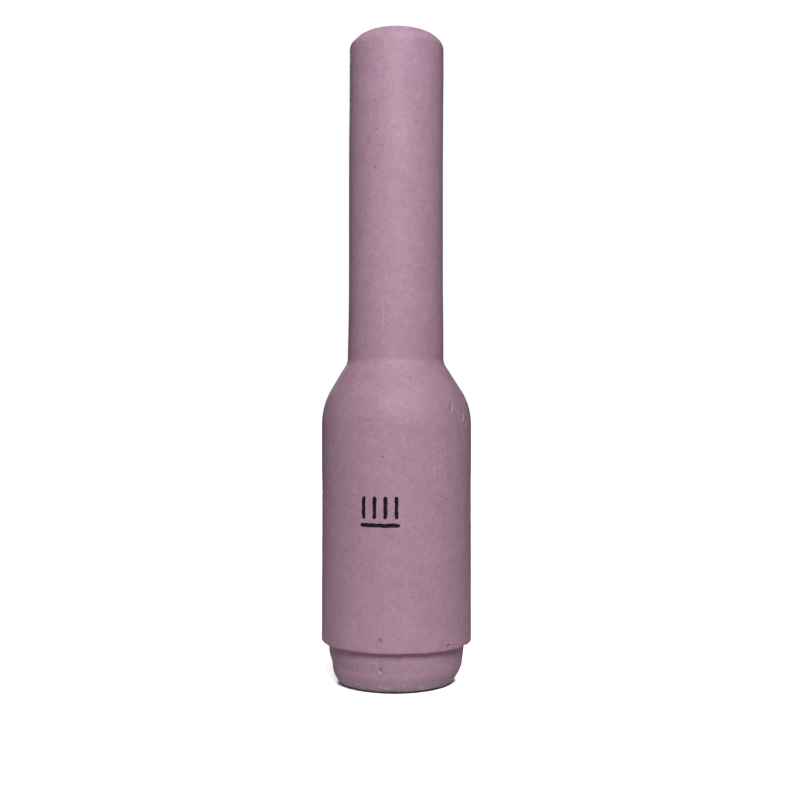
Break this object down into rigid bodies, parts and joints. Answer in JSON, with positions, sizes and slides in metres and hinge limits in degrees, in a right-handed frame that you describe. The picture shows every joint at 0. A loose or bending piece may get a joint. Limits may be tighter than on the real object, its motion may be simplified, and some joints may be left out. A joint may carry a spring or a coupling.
{
  "type": "tig torch gas nozzle",
  "caption": "Long ceramic gas nozzle of a TIG torch: a thick threaded body with a stepped gasket end, a round shoulder and a slim tube that guides shielding gas to the weld.",
  "frame": {"origin": "centre of the torch-end face, on the nozzle's axis", "axes": "+Z along the axis towards the gas outlet; the size stamp faces -Y, about 12 degrees round towards -X"},
  "size_m": [0.0176, 0.0176, 0.076],
  "materials": {
    "alumina": "fine matte sintered, unglazed",
    "ink": "matte fired stamp ink"
  },
  "bodies": {
    "root": {"ceramic_nozzle": "alumina", "size_stamp": "ink"}
  },
  "joints": []
}
